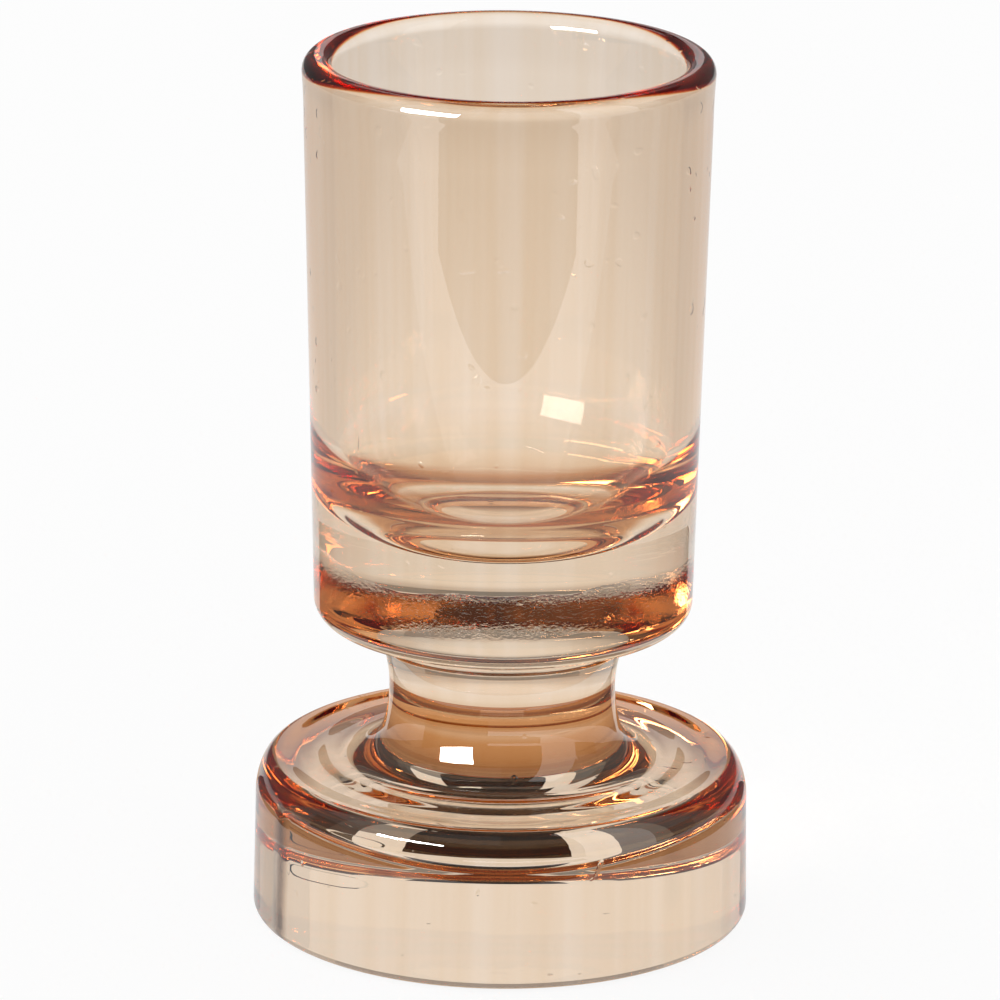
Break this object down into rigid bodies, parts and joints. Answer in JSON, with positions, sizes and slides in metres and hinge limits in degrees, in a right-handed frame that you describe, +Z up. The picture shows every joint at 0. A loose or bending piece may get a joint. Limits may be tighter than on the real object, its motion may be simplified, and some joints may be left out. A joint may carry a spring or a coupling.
{
  "type": "glass candlestick",
  "caption": "Heavy pale amber glass candlestick: a thick-walled open cup on a short waisted stem and a solid round foot, for a small candle or tealight.",
  "frame": {"origin": "centre of the foot's flat underside, where the candlestick meets the table", "axes": "+Z up along the turned axis, from the foot to the mouth of the cup; the shape is round, so X and Y are free"},
  "size_m": [0.07, 0.07, 0.1239],
  "materials": {
    "cup_glass": "fire-polished pale amber lustre glass, smooth and clear",
    "stem_glass": "fire-polished pale amber lustre glass, smooth and clear",
    "foot_glass": "fire-polished pale amber lustre glass, smooth and clear, with a faint mould seam"
  },
  "bodies": {
    "root": {"cup": "cup_glass", "stem": "stem_glass", "foot": "foot_glass"}
  },
  "joints": []
}
